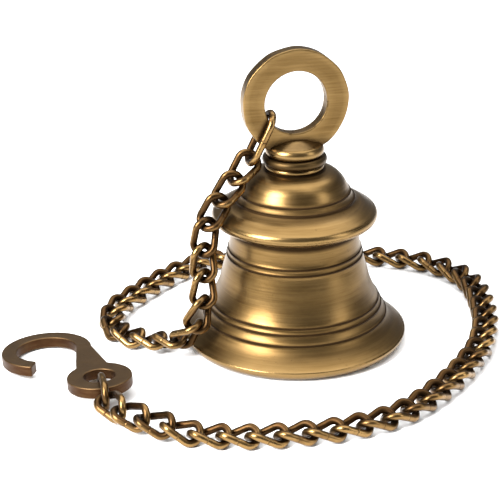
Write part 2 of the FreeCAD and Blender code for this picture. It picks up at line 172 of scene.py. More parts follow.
def put(name, verts, faces, body, nodes, material, slot, **values):
    """A mesh object from whole arrays: vertices in metres, quads, and one number a vertex
    for each named value, which the finishes read."""
    mesh = bpy.data.meshes.new(name)
    mesh.vertices.add(len(verts))
    mesh.vertices.foreach_set("co", np.ascontiguousarray(verts, dtype=np.float32).ravel())
    mesh.loops.add(faces.size)
    mesh.loops.foreach_set("vertex_index", faces.astype(np.int32).ravel())
    mesh.polygons.add(len(faces))
    mesh.polygons.foreach_set("loop_start", np.arange(len(faces), dtype=np.int32) * faces.shape[1])
    mesh.polygons.foreach_set("use_smooth", np.full(len(faces), True))
    mesh.update(calc_edges=True)
    mesh.validate()
    for key, value in values.items():
        spread = np.broadcast_to(np.asarray(value, dtype=np.float32), (len(verts),))
        mesh.attributes.new(key, "FLOAT", "POINT").data.foreach_set(
            "value", np.ascontiguousarray(spread))
    mesh.materials.append(material)
    piece = bpy.data.objects.new(name, mesh)
    bpy.context.scene.collection.objects.link(piece)
    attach(piece, body)
    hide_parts(*nodes)
    return piece


def quads(rows, columns, close_rows=True, close_columns=True):
    """Faces of a grid of rows by columns: each cell joins a point to the next along its
    row and the same two in the next row, wrapping round where the grid closes."""
    r = np.arange(rows if close_rows else rows - 1)
    c = np.arange(columns if close_columns else columns - 1)
    i, j = np.meshgrid(r, c, indexing="ij")
    a = i * columns + j
    b = i * columns + (j + 1) % columns
    d = ((i + 1) % rows) * columns + j
    e = ((i + 1) % rows) * columns + (j + 1) % columns
    return np.stack([a, b, e, d], -1).reshape(-1, 4)


def natural_spline(points, count):
    """A smooth curve through points: cubic pieces with equal slope and bend where they
    meet and no bend at the ends, read at count even steps of the chord length."""
    points = np.asarray(points, float)
    at = np.concatenate([[0], np.cumsum(np.linalg.norm(np.diff(points, axis=0), axis=1))])
    gap = np.diff(at)
    n = len(points)
    system = np.eye(n)
    inner = np.arange(1, n - 1)
    system[inner, inner - 1] = gap[:-1]
    system[inner, inner] = 2 * (gap[:-1] + gap[1:])
    system[inner, inner + 1] = gap[1:]
    slopes = np.diff(points, axis=0) / gap[:, None]
    right = np.zeros_like(points)
    right[1:-1] = 6 * np.diff(slopes, axis=0)
    bend = np.linalg.solve(system, right)
    t = np.linspace(0, at[-1], count)
    k = np.clip(np.searchsorted(at, t, side="right") - 1, 0, n - 2)
    h, a, b = gap[k][:, None], (at[k + 1] - t)[:, None], (t - at[k])[:, None]
    return (bend[k] * a ** 3 / (6 * h) + bend[k + 1] * b ** 3 / (6 * h)
            + (points[k] / h - bend[k] * h / 6) * a + (points[k + 1] / h - bend[k + 1] * h / 6) * b)


def bow(a, b, c, count=24):
    """Points on the circle through three points, from the first to the last: its centre is
    where the bisectors of the two chords cross."""
    a, b, c = (np.asarray(p, float) for p in (a, b, c))
    rows = 2 * np.array([b - a, c - a])
    centre = np.linalg.solve(rows, np.array([b @ b - a @ a, c @ c - a @ a]))
    angles = [math.atan2(*(p - centre)[::-1]) for p in (a, b, c)]
    turn = (angles[2] - angles[0]) % (2 * math.pi)
    if (angles[1] - angles[0]) % (2 * math.pi) > turn:
        turn -= 2 * math.pi
    t = angles[0] + np.linspace(0, turn, count)
    return centre + np.linalg.norm(a - centre) * np.stack([np.cos(t), np.sin(t)], -1)


def even(loop, step):
    """The same closed line with points an even step apart."""
    loop = np.vstack([loop, loop[:1]])
    length = np.concatenate([[0], np.cumsum(np.linalg.norm(np.diff(loop, axis=0), axis=1))])
    count = max(8, int(round(length[-1] / step)))
    t = np.linspace(0, length[-1], count, endpoint=False)
    return np.stack([np.interp(t, length, loop[:, k]) for k in range(loop.shape[1])], -1)


def soften(values, step, width):
    """Values along a closed line, blurred: each becomes the mean of its neighbours, weighed
    by a bell curve of the given width."""
    reach = int(4 * width / step) + 1
    weight = np.exp(-0.5 * (np.arange(-reach, reach + 1) * step / width) ** 2)
    weight /= weight.sum()
    values = np.asarray(values, float)
    rows = values if values.ndim == 2 else values[:, None]
    wrapped = np.concatenate([rows[-reach:], rows, rows[:reach]])
    out = np.stack([np.convolve(wrapped[:, k], weight, "valid") for k in range(rows.shape[1])], -1)
    return out if values.ndim == 2 else out[:, 0]


def turned_profile(corners, rounding, fall=0.9):
    """A closed turned profile (radius, height) with its corners eased, and how hollow and how
    proud each point is. Hollow and proud are the bend of the line blurred over fall."""
    step = 0.1 * MM
    line = soften(even(corners, step), step, rounding)
    along = np.roll(line, -1, 0) - np.roll(line, 1, 0)
    along /= np.linalg.norm(along, axis=1)[:, None] + 1e-12
    after = np.roll(along, -1, 0)
    bend = (along[:, 1] * after[:, 0] - along[:, 0] * after[:, 1]) / step
    wide = soften(bend, step, fall * MM) * MM
    return line, along, np.clip(-wide * 3.2, 0, 1), np.clip(wide * 2.6, 0, 1), step


def spaced(line, weight, count):
    """Picks count points along a line, closer together where weight is larger: equal shares
    of the weight's running total."""
    total = np.concatenate([[0], np.cumsum(weight)])
    t = np.interp(np.linspace(0, total[-1], count, endpoint=False), total, np.arange(len(weight) + 1))
    index = np.clip(t.astype(int), 0, len(line) - 1)
    return np.unique(index)


def lathe(profile, segments, wobble=0.0):
    """Turns a closed profile of (radius, height) about Z: x = r cos t, y = r sin t, with t
    over a full turn; wobble lets the radius breathe by a share of itself."""
    t = np.linspace(0, 2 * math.pi, segments, endpoint=False)[:, None]
    r = profile[None, :, 0] * (1 + wobble * (np.sin(2 * t + 0.7) + 0.5 * np.sin(5 * t)))
    z = np.broadcast_to(profile[None, :, 1], r.shape)
    verts = np.stack([r * np.cos(t), r * np.sin(t), z], -1).reshape(-1, 3)
    return verts, quads(segments, len(profile))[:, ::-1]


def over_turns(values, segments):
    return np.broadcast_to(np.asarray(values)[None, :], (segments, len(values))).reshape(-1)


# ---------------------------------------------------------------- shader sums

class Socket:
    """A node's output in sums: each operator adds one Math node."""

    def __init__(self, tree, out):
        self.tree, self.out = tree, out

    def join(self, kind, *terms, clamp=False):
        node = self.tree.nodes.new("ShaderNodeMath")
        node.operation, node.use_clamp = kind, clamp
        for slot, term in zip(node.inputs, terms):
            if isinstance(term, Socket):
                self.tree.links.new(term.out, slot)
            else:
                slot.default_value = term
        return Socket(self.tree, node.outputs[0])

    def __add__(self, other):
        return self.join("ADD", self, other)

    def __sub__(self, other):
        return self.join("SUBTRACT", self, other)

    def __rsub__(self, other):
        return self.join("SUBTRACT", other, self)

    def __mul__(self, other):
        return self.join("MULTIPLY", self, other)

    def __truediv__(self, other):
        return self.join("DIVIDE", self, other)

    def __pow__(self, other):
        return self.join("POWER", self, other)

    __radd__, __rmul__ = __add__, __mul__

    def clamp(self):
        return self.join("ADD", self, 0.0, clamp=True)


class Finish:
    """A material being made."""

    def __init__(self, name):
        self.material = bpy.data.materials.new(name)
        self.material.use_nodes = True
        self.tree = self.material.node_tree
        self.tree.nodes.clear()

    def node(self, kind, settings=None, output=0, **sockets):
        """Any node: its settings first, then its sockets' values or links."""
        node = self.tree.nodes.new("ShaderNode" + kind)
        for key, value in (settings or {}).items():
            setattr(node, key, value)
        for key, value in sockets.items():
            slot = node.inputs[key.replace("_", " ")]
            if isinstance(value, Socket):
                self.tree.links.new(value.out, slot)
            else:
                slot.default_value = value
        return Socket(self.tree, node.outputs[output])

    def value(self, name):
        return self.node("Attribute", {"attribute_name": name}, 2)

    def place(self):
        return self.node("TexCoord", None, 3)

    def parts(self, vector):
        return [self.node("SeparateXYZ", None, k, Vector=vector) for k in range(3)]

    def vector(self, x, y, z):
        return self.node("CombineXYZ", None, 0, X=x, Y=y, Z=z)

    def noise(self, vector, scale, detail=3.0, rough=0.55, distortion=0.0):
        return self.node("TexNoise", None, 0, Vector=vector, Scale=scale, Detail=detail,
                         Roughness=rough, Distortion=distortion)

    def step(self, value, low, high, to_low=0.0, to_high=1.0):
        """Eases from one value to another as the input crosses a span."""
        return self.node("MapRange", {"interpolation_type": "SMOOTHSTEP"}, 0, Value=value,
                         From_Min=low, From_Max=high, To_Min=to_low, To_Max=to_high)

    def mix(self, amount, a, b):
        """Blends two colours; a plain tint becomes a fixed number on its socket."""
        node = self.tree.nodes.new("ShaderNodeMix")
        node.data_type = "RGBA"
        for key, value in ((0, amount), (6, a), (7, b)):
            if isinstance(value, Socket):
                self.tree.links.new(value.out, node.inputs[key])
            else:
                node.inputs[key].default_value = value if key == 0 else (*value, 1.0)
        return Socket(self.tree, node.outputs[2])

    def metal(self, base, rough, height=None, depth=0.0, metallic=1.0, **fixed):
        shader = self.tree.nodes.new("ShaderNodeBsdfPrincipled")
        for key, value in (("Base Color", base), ("Roughness", rough), ("Metallic", metallic)):
            if isinstance(value, Socket):
                self.tree.links.new(value.out, shader.inputs[key])
            else:
                shader.inputs[key].default_value = value
        for key, value in fixed.items():
            shader.inputs[key.replace("_", " ")].default_value = value
        if height is not None:
            bump = self.node("Bump", None, 0, Height=height, Distance=depth, Strength=1.0)
            self.tree.links.new(bump.out, shader.inputs["Normal"])
        out = self.tree.nodes.new("ShaderNodeOutputMaterial")
        self.tree.links.new(shader.outputs[0], out.inputs[0])
        return self.material


def turned_brass(name, brass, bright, patina_and_shade, darkness, rough=0.33):
    """Lathe-turned brass: fine rings that follow the work round, clouds of tarnish, and
    patina where the surface is hollow, which in the corners such as under the flange is also
    painted shade; the inside of the bell is darkened as painted shade."""
    f = Finish(name)
    place = f.place()
    x, y, z = f.parts(place)
    r = (x * x + y * y + 1e-8) ** 0.5
    run = z - 0.7 * r
    hollow, proud, inside = f.value("hollow"), f.value("proud"), f.value("inside")
    across = f.vector(run * 1100.0, x / r * 0.9, y / r * 0.9)
    rings = f.noise(across, 1.0, 4.0, 0.7)
    broad = f.noise(f.vector(run * 190.0, x / r * 1.1, y / r * 1.1), 1.0, 3.0, 0.6)
    cloud = f.noise(place, 26.0, 4.0, 0.6, 0.4)
    specks = f.noise(place, 520.0, 2.0, 0.6)
    streak = (rings - 0.5) * 1.3 + (broad - 0.5) * 1.7 + (cloud - 0.5) * 1.2
    # Patina in the grooves, patina and painted shade in the corners under the flange, painted shade over the whole
    # inside of the bell, and specks of tarnish.
    darkening = (hollow * (1.5 + 0.9 * (cloud - 0.5)) + inside * 0.75
            + f.step(specks, 0.66, 0.78) * 0.25).clamp()
    tint = f.mix((0.42 + streak * 0.75 + proud * 0.45).clamp(), brass, bright)
    tint = f.mix((f.step(cloud, 0.42, 0.72) * (0.55 * darkness) + f.step(broad, 0.5, 0.8) * 0.22 * darkness).clamp(),
                 tint, [c * 0.52 for c in brass])
    base = f.mix((darkening * (0.45 + 0.75 * darkness)).clamp(), tint, patina_and_shade)
    roughness = (rough + darkening * 0.3 + (rings - 0.5) * 0.14 + (cloud - 0.5) * 0.12 - proud * 0.05).clamp()
    height = rings * 0.55 + broad * 0.7 + specks * 0.12
    return f.metal(base, roughness, height, 0.00006)


def brushed_brass(name, brass, bright, patina_and_shade, darkness, turn):
    """Brass rubbed on a flat stone: fine straight scratches across the face, deeper pits
    inside the hole, and darker brass near the collar."""
    f = Finish(name)
    place = f.place()
    x, y, z = f.parts(place)
    right = x * math.cos(turn) + y * math.sin(turn)
    front = x * math.sin(turn) - y * math.cos(turn)
    hollow, proud, inside = f.value("hollow"), f.value("proud"), f.value("inside")
    grain = f.noise(f.vector(right * 55.0, front * 700.0, z * 1150.0), 1.0, 4.0, 0.65)
    wide = f.noise(f.vector(right * 16.0, front * 200.0, z * 240.0), 1.0, 3.0, 0.6)
    cloud = f.noise(place, 60.0, 4.0, 0.65, 0.5)
    pits = f.noise(place, 420.0, 3.0, 0.7)
    # Darker near the collar, over the hole's wall with its pits, and in clouds of tarnish.
    darkening = (hollow + inside * (0.35 + f.step(pits, 0.5, 0.68) * 0.6)
            + f.step(cloud, 0.56, 0.75) * (0.3 * darkness)).clamp()
    tint = f.mix((0.3 + (grain - 0.5) * 1.0 + (wide - 0.5) * 1.2 + proud * 0.5).clamp(), brass, bright)
    base = f.mix((darkening * (0.4 + 0.7 * darkness)).clamp(), tint, patina_and_shade)
    roughness = (0.33 + (grain - 0.5) * 0.2 + darkening * 0.25).clamp()
    height = grain * 0.8 + pits * (0.2 + inside * 2.2)
    return f.metal(base, roughness, height, 0.00007)


def worn_wire(name, dark, worn, patina_and_shade, darkness):
    """Darkened wire: patina brown and painted shade on the inner sides, most where links pass
    through each other's ends, and gold on their outer sides.
    """
    f = Finish(name)
    place = f.place()
    hollow, proud, tone = f.value("hollow"), f.value("proud"), f.value("tone")
    cloud = f.noise(place, 150.0, 4.0, 0.6, 0.3)
    fine = f.noise(place, 900.0, 3.0, 0.6)
    worn_at = f.step(proud + (cloud - 0.5) * 0.9 + (tone - 0.5) * 0.5, 0.35, 1.05)
    tint = f.mix(worn_at, dark, worn)
    redder = [dark[0] * 0.95, dark[1] * 0.66, dark[2] * 0.5]
    tint = f.mix((f.step(cloud, 0.5, 0.72) * 0.55).clamp(), tint, redder)
    # Patina brown and painted shade on the wire's inner sides, with fine specks of tarnish.
    base = f.mix((hollow * (0.5 + 0.5 * darkness) + f.step(fine, 0.6, 0.75) * 0.25).clamp(), tint, patina_and_shade)
    roughness = (0.34 + hollow * 0.25 + (cloud - 0.5) * 0.2 - worn_at * 0.06).clamp()
    height = cloud * 0.8 + fine * 0.25
    return f.metal(base, roughness, height, 0.00012)


def dull_plate(name, face, side, patina_and_shade, darkness):
    """Sawn and filed plate: dull brown faces, redder sides with file marks."""
    f = Finish(name)
    place = f.place()
    edge, proud = f.value("edge"), f.value("proud")
    cloud = f.noise(place, 90.0, 5.0, 0.6, 0.6)
    fine = f.noise(place, 700.0, 3.0, 0.65)
    x, y, z = f.parts(place)
    file_marks = f.noise(f.vector(x * 160.0, y * 160.0, z * 900.0), 1.0, 3.0, 0.6)
    tint = f.mix((0.5 + (cloud - 0.5) * 1.4).clamp(), [c * 0.74 for c in face], [c * 1.22 for c in face])
    tint = f.mix((edge * (0.85 + (file_marks - 0.5) * 0.8)).clamp(), tint, side)
    tint = f.mix((proud * 0.5).clamp(), tint, [c * 1.7 for c in face])
    base = f.mix((f.step(cloud, 0.5, 0.74) * 0.4 * darkness
                  + f.step(fine, 0.62, 0.76) * 0.35).clamp(), tint, patina_and_shade)
    roughness = (0.42 + (cloud - 0.5) * 0.22 + edge * 0.1).clamp()
    height = cloud * 0.6 + fine * 0.3 + file_marks * edge * 0.6
    return f.metal(base, roughness, height, 0.00012)


def pale_floor(name, tint):
    f = Finish(name)
    cloud = f.noise(f.place(), 1.3, 2.0, 0.5)
    base = f.mix((cloud * 0.5).clamp(), tint, [c * 0.99 for c in tint])
    return f.metal(base, 0.9, metallic=0.0, Specular_IOR_Level=0.1)


def finish(name, make, *terms, **options):
    """One material a name, made the first time it is asked for."""
    found = bpy.data.materials.get(name)
    return found if found else make(name, *terms, **options)


def tints():
    c = bpy.context.scene.bell_colours
    return {key: tuple(getattr(c, key)) for key in
            ("brass", "bright", "patina_and_shade", "chain", "chain_worn", "hook", "hook_side", "floor")}, c.darkness


# ---------------------------------------------------------------- the bell and its crown

# Outlines as shares: (radius, height) from the waist to the lip, from the crown's bead to the
# dome's foot, and up the inside to the ceiling; then the heights of the turned grooves, mm
FLARE = [(0.0, 1.0), (0.033, 0.873), (0.09, 0.748), (0.186, 0.6), (0.281, 0.451), (0.414, 0.322),
         (0.486, 0.256), (0.593, 0.172), (0.714, 0.097), (0.871, 0.04), (1.0, 0.0)]
DOME = [(0.0, 1.0), (0.2, 0.945), (0.345, 0.865), (0.45, 0.76), (0.535, 0.63), (0.59, 0.5),
        (0.65, 0.36), (0.755, 0.165), (0.87, 0.06), (1.0, 0.0)]
CEILING = [(0.97, 0.3), (0.93, 0.55), (0.85, 0.76), (0.70, 0.91), (0.5, 0.985), (0.36, 1.0)]
GROOVES = [12.4, 16.4, 18.8, 39.4, 41.9, 64.3, 67.2]


def bell_outline(b, hole):
    """The bell's section: crown, dome, flange, flare, lip, and back up the inside."""
    flare = [(b.waist_radius + (b.lip_radius - b.waist_radius) * r,
              b.lip_height + (b.waist_height - b.lip_height) * h) for r, h in FLARE]
    low = b.boss_radius - 0.4 * MM
    dome = [(low + (b.dome_radius - low) * r, b.dome_foot + (b.dome_top - b.dome_foot) * h)
            for r, h in DOME]
    crown = b.dome_top + b.boss_height
    ceiling = b.dome_top - b.crown_thick
    foot = (b.foot_radius, 0.0)
    inner_foot = (b.foot_radius - b.foot_width, 0.0)
    inside = [inner_foot] + [(r - b.wall, h) for r, h in reversed(flare) if h > 1.8 * b.lip_height]
    narrow = b.waist_radius - b.wall
    inside += [(narrow * r, b.waist_height + (ceiling - b.waist_height) * h) for r, h in CEILING]
    under = (b.flange_radius - 1.8 * MM, b.flange_low)
    over = (b.flange_radius - 1.2 * MM, b.flange_high)
    middle = (b.flange_radius, (b.flange_low + b.flange_high) / 2)
    return np.vstack([
        [(hole, crown)],
        bow((low - 0.5 * MM, crown), (b.boss_radius, b.dome_top + b.boss_height / 2),
            (low - 0.5 * MM, b.dome_top + 0.1 * MM)),
        natural_spline(dome, 240),
        [(b.dome_radius + 1.3 * MM, b.dome_foot - 0.7 * MM)],
        bow(over, middle, under),
        natural_spline(flare, 400)[1:],
        bow(flare[-1], (b.lip_radius - 1.3 * MM, 0.3 * b.lip_height), foot),
        natural_spline(inside, 400),
        [(hole, ceiling)]])


class BELL_OT_shell(bpy.types.Operator):
    """Turn the bell's shell with its grooves, flange and flared lip"""
    bl_idname = "hanging_bell.shell"
    bl_label = "Bell shell"

    def execute(self, context):
        b, crown = context.scene.bell_sizes, context.scene.crown_sizes
        corners = bell_outline(b, crown.hole)
        line, along, hollow, proud, step = turned_profile(corners, 0.22 * MM)
        z, r = line[:, 1], line[:, 0]
        out = np.stack([-along[:, 1], along[:, 0]], -1)
        lowest = int(np.argmin(z + 1e-3 * r))
        outside = np.arange(len(line)) < lowest
        cut = np.zeros(len(line))
        for height in GROOVES:
            near = np.where(outside & (z < b.dome_top) & (r > b.boss_radius), np.abs(z - height * MM), 1.0)
            slope = np.abs(along[np.argmin(near), 1]) + 0.05
            cut = np.maximum(cut, np.exp(-(near / (b.groove_width * slope)) ** 2))
        line = line + out * (cut * b.groove_depth)[:, None]
        hollow = np.clip(hollow + cut * 1.2, 0, 1)
        # The whole inside of the bell is marked for painted shade.
        inner = np.where(outside, 0.0, 1.0)
        turn = np.linalg.norm(np.roll(along, -1, 0) - along, axis=1) / step
        weight = 1 + 1.1 * soften(turn, step, 0.4 * MM) / 100 + 14 * np.clip(cut * 1.6, 0, 1)
        pick = spaced(line, weight, 300)
        verts, faces = lathe(line[pick], 224, 0.0006)
        t, darkness = tints()
        material = finish("turned_brass", turned_brass, t["brass"], t["bright"], t["patina_and_shade"], darkness)
        spread = dict(hollow=hollow, proud=proud, inside=inner)
        put("bell_skin", verts, faces, "bell", ["bell_shell"], material, "bell_brass",
            **{k: over_turns(v[pick], 224) for k, v in spread.items()})
        return {"FINISHED"}


def turned_piece(name, corners, rounding, node, material, slot_, body="bell", count=90, segments=128,
                 dark=0.0):
    """Turns one small piece from its section's corners."""
    line, along, hollow, proud, step = turned_profile(corners, rounding, 0.6)
    turn = np.linalg.norm(np.roll(along, -1, 0) - along, axis=1) / step
    pick = spaced(line, 1 + soften(turn, step, 0.3 * MM) / 60, count)
    verts, faces = lathe(np.maximum(line[pick], [1e-6, -1]), segments)
    return put(name, verts, faces, body, node, material, slot_,
               hollow=over_turns(np.clip(hollow[pick] + dark, 0, 1), segments),
               proud=over_turns(proud[pick], segments), inside=0.0)


class BELL_OT_crown(bpy.types.Operator):
    """Turn the collar with its stem and the dark bead between it and the bell"""
    bl_idname = "hanging_bell.crown"
    bl_label = "Crown and collar"

    def execute(self, context):
        b, c = context.scene.bell_sizes, context.scene.crown_sizes
        t, darkness = tints()
        low = b.dome_top + b.boss_height + c.seat
        high = low + c.ferrule_height
        edge = c.ferrule_radius - 1.1 * MM
        bead = np.vstack([
            [(c.hole, high)], bow((edge, high), (c.ferrule_radius, (low + high) / 2), (edge, low)),
            [(c.hole, low)]])
        dark = finish("dark_bead_brass", turned_brass, [v * 0.42 for v in t["brass"]],
                      [v * 0.62 for v in t["bright"]], t["patina_and_shade"], 1.0, rough=0.3)
        turned_piece("dark_bead", bead, 0.15 * MM, ["neck_ferrule"], dark, "dark_brass", dark=0.3)
        foot = high + c.seat
        top = foot + c.collar_height
        edge = c.collar_radius - 0.9 * MM
        shape = np.vstack([
            [(0, top + 2.2 * MM), (c.collar_radius - 8.0 * MM, top + 2.0 * MM),
             (c.collar_radius - 3.4 * MM, top + 0.5 * MM)],
            bow((edge - 0.6 * MM, top - 0.1 * MM), (c.collar_radius, foot + c.collar_height / 2),
                (edge, foot)),
            [(c.stem, foot), (c.stem, c.stem_foot), (0, c.stem_foot)]])
        brass = finish("turned_collar_brass", turned_brass, t["brass"], t["bright"], t["patina_and_shade"], darkness)
        turned_piece("ring_collar", shape, 0.2 * MM, ["suspension_ring"], brass, "ring_brass", count=120)
        return {"FINISHED"}


class BELL_OT_ring(bpy.types.Operator):
    """Make the flat ring that stands on the collar"""
    bl_idname = "hanging_bell.ring"
    bl_label = "Flat ring"

    def execute(self, context):
        b, c = context.scene.bell_sizes, context.scene.crown_sizes
        t, darkness = tints()
        half, inner, outer = c.ring_thick / 2, c.ring_hole, c.ring_radius
        section = [(inner, -half), (outer, -half), (outer, half), (inner, half)]
        line, along, _, proud, step = turned_profile(section[::-1], 0.42 * MM, 0.7)
        turn = np.linalg.norm(np.roll(along, -1, 0) - along, axis=1) / step
        pick = spaced(line, 1 + soften(turn, step, 0.4 * MM) / 45, 64)
        segments = 200
        a = np.linspace(0, 2 * math.pi, segments, endpoint=False)[:, None]
        reach, depth = line[pick][None, :, 0], line[pick][None, :, 1]
        part = (reach - inner) / (outer - inner)
        filed = (0.0045 * np.sin(5 * a + 0.6) + 0.003 * np.sin(9 * a + 2.0)
                 + 0.0025 * np.sin(13 * a)) * part
        filed = filed - 0.006 * np.sin(3 * a + 1.0) * (1 - part)
        reach = reach * (1 + filed) - 0.08 * MM
        right = np.array([math.cos(c.ring_turn), math.sin(c.ring_turn), 0])
        front = np.array([math.sin(c.ring_turn), -math.cos(c.ring_turn), 0])
        low = b.dome_top + b.boss_height + c.seat + c.ferrule_height + c.seat
        centre = np.array([0, 0, low + c.ring_rise])
        verts = (centre + (reach * np.cos(a))[..., None] * right
                 + (reach * np.sin(a))[..., None] * np.array([0, 0, 1.0])
                 + (depth * (1 + 0 * a))[..., None] * front)
        heights = verts[..., 2]
        # Darker towards the bottom of the ring, where it meets the collar.
        near_collar = np.clip(1 - (heights - low - c.collar_height) / (3.2 * MM), 0, 1)
        in_hole = np.clip(1 - (reach - inner) / (0.9 * MM), 0, 1) + 0 * a
        faces = quads(segments, len(pick))
        material = finish("brushed_ring_brass", brushed_brass, t["brass"], t["bright"], t["patina_and_shade"], darkness,
                          c.ring_turn)
        put("flat_ring", verts.reshape(-1, 3), faces, "bell", ["suspension_ring"], material, "ring_brass",
            hollow=(near_collar * 0.8).reshape(-1), proud=over_turns(proud[pick], segments),
            inside=in_hole.reshape(-1))
        return {"FINISHED"}


class BELL_OT_clapper(bpy.types.Operator):
    """Turn the clapper's ball and finish the fittings inside the bell"""
    bl_idname = "hanging_bell.clapper"
    bl_label = "Clapper and fittings"

    def execute(self, context):
        c, n = context.scene.crown_sizes, context.scene.chain_sizes
        t, darkness = tints()
        a = np.linspace(math.pi / 2 - 0.16, -math.pi / 2 + 0.16, 60)
        ball = np.stack([c.ball_radius * np.cos(a), c.ball_height + c.ball_radius * np.sin(a)], -1)
        bore = c.rod_radius + c.rod_gap
        shape = np.vstack([[(bore, ball[0, 1])], ball, [(bore, ball[-1, 1])]])
        brass = finish("turned_collar_brass", turned_brass, t["brass"], t["bright"], t["patina_and_shade"], darkness)
        turned_piece("clapper_bob", shape, 0.1 * MM, ["clapper_ball"], brass, "clapper_brass",
                     "clapper", 80, 96)
        wire = finish("fitting_wire", worn_wire, t["brass"], t["bright"], t["patina_and_shade"], darkness)
        for node in ("crown_washer", "crown_nut", "clapper_eyebolt", "clapper_rod"):
            thing = frame["nodes"][node]
            thing.data.materials.clear()
            thing.data.materials.append(wire)
        links_for("clapper_link", n.small_half, n.small_side, 0.0, n.small_wire, wire, "fitting_brass", 0)
        return {"FINISHED"}


# ---------------------------------------------------------------- the chain and its hook

def link_grid(half, side, twist, wire, around=16):
    """A link's wire on a grid. Its centre line joins eight corners on two half circles,
    turned about the link's length by twist in proportion to x; each corner is cut by a curve
    a(1-s)^2 + 2c s(1-s) + b s^2. Across it the wire is c + wire (n cos v + m sin v), n being
    the way out from the link's middle."""
    straight, reach = half - side, side / math.cos(math.pi / 8)
    turn = np.radians([-67.5, -22.5, 22.5, 67.5, 112.5, 157.5, 202.5, 247.5])
    x = np.where(np.arange(8) < 4, straight, -straight) + reach * np.cos(turn)
    y, lean = reach * np.sin(turn), twist * x / half
    corner = np.stack([x, y * np.cos(lean), y * np.sin(lean)], -1)
    before, after = np.roll(corner, 1, 0), np.roll(corner, -1, 0)
    run_in, run_out = np.linalg.norm(corner - before, axis=1), np.linalg.norm(after - corner, axis=1)
    trim = 0.47 * np.minimum(run_in, run_out)[:, None]
    first = corner + (before - corner) / run_in[:, None] * trim
    last = corner + (after - corner) / run_out[:, None] * trim
    s = np.linspace(0, 1, 6)[None, :, None]
    path = (first[:, None] * (1 - s) ** 2 + 2 * corner[:, None] * s * (1 - s) + last[:, None] * s ** 2)
    path = path.reshape(-1, 3)
    seam = (first[0] + last[-1]) / 2
    way = (first[0] - last[-1]) / np.linalg.norm(first[0] - last[-1])
    near = seam + way * np.array([[0.0], [0.22], [0.5]]) * MM
    back = seam - way * np.array([[0.5], [0.22]]) * MM
    path = np.vstack([near, path, back])
    radius = np.full(len(path), wire)
    radius[0] = wire * 0.90
    along = np.roll(path, -1, 0) - np.roll(path, 1, 0)
    along /= np.linalg.norm(along, axis=1)[:, None]
    out = path - (path * along).sum(1)[:, None] * along
    out /= np.linalg.norm(out, axis=1)[:, None]
    other = np.cross(along, out)
    v = np.linspace(0, 2 * math.pi, around, endpoint=False)[None, :, None]
    verts = path[:, None] + radius[:, None, None] * (out[:, None] * np.cos(v) + other[:, None] * np.sin(v))
    facing = np.cos(v)[..., 0] + 0 * path[:, :1]
    # The wire's inner side gets patina brown and painted shade, most at the ends where the next link passes
    # through; the seam is a dark joint.
    ends = np.clip((np.abs(path[:, 0]) / half - 0.45) / 0.5, 0, 1)[:, None]
    hollow = np.clip(-facing * 1.1, 0, 1) * (0.25 + 0.75 * ends)
    hollow[0] = 1.0
    proud = np.clip(facing, 0, 1) * (1 - 0.35 * ends) + 0.25 * np.abs(np.sin(v)[..., 0])
    return verts.reshape(-1, 3), quads(len(path), around)[:, ::-1], hollow.reshape(-1), proud.reshape(-1)


def solid_frame(triangles):
    """Middle and own axes of a closed solid, longest first: the axes are those of the
    second moments of its volume, summed over the tetrahedra from the origin to each face."""
    a, b, c = (triangles[:, k] for k in range(3))
    volume = np.einsum("ij,ij->i", a, np.cross(b, c)) / 6
    middle = ((a + b + c) / 4 * volume[:, None]).sum(0) / volume.sum()
    a, b, c = a - middle, b - middle, c - middle
    volume = np.einsum("ij,ij->i", a, np.cross(b, c)) / 6
    total = sum(np.einsum("i,ij,ik->jk", volume, p, p) for p in (a, b, c, a + b + c)) / 20
    _, axes = np.linalg.eigh(total)
    x, y = axes[:, 2], axes[:, 1]
    return middle, np.stack([x, y, np.cross(x, y)])


def separate(node):
    """Triangles of a node, one array a solid: corners in the same place are one corner, and
    each takes the lowest number that it is joined to until nothing changes."""
    mesh = frame["nodes"][node].data
    mesh.calc_loop_triangles()
    points = np.empty(len(mesh.vertices) * 3, np.float32)
    mesh.vertices.foreach_get("co", points)
    faces = np.empty(len(mesh.loop_triangles) * 3, np.int32)
    mesh.loop_triangles.foreach_get("vertices", faces)
    points, faces = points.reshape(-1, 3).astype(float), faces.reshape(-1, 3)
    _, same = np.unique(np.round(points * 1e6).astype(np.int64), axis=0, return_inverse=True)
    joined = same.reshape(-1)[faces]
    label = np.arange(joined.max() + 1)
    while True:
        lowest = label[joined].min(1)
        new = label.copy()
        np.minimum.at(new, joined.reshape(-1), np.repeat(lowest, 3))
        new = new[new]
        if (new == label).all():
            break
        label = new
    owner = label[joined[:, 0]]
    return [points[faces[owner == k]] for k in np.unique(owner)]


def links_for(node, half, side, twist, wire, material, slot_, seed):
    """The links of one node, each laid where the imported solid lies."""
    rng = np.random.default_rng(seed)
    verts, faces, hollow, proud, tone, count = [], [], [], [], [], 0
    for triangles in separate(node):
        middle, axes = solid_frame(triangles)
        grid, cells, deep, high = link_grid(half, side, twist, wire)
        verts.append(middle + grid @ axes)
        faces.append(cells + count)
        hollow.append(deep)
        proud.append(high)
        tone.append(np.full(len(grid), rng.random()))
        count += len(grid)
    return put(node + "_wire", np.vstack(verts), np.vstack(faces), body_of[node], [node], material, slot_,
               hollow=np.concatenate(hollow), proud=np.concatenate(proud), tone=np.concatenate(tone))


body_of = {node: body for body, nodes in frame["record"]["behaviour"]["bodies"].items() for node in nodes}


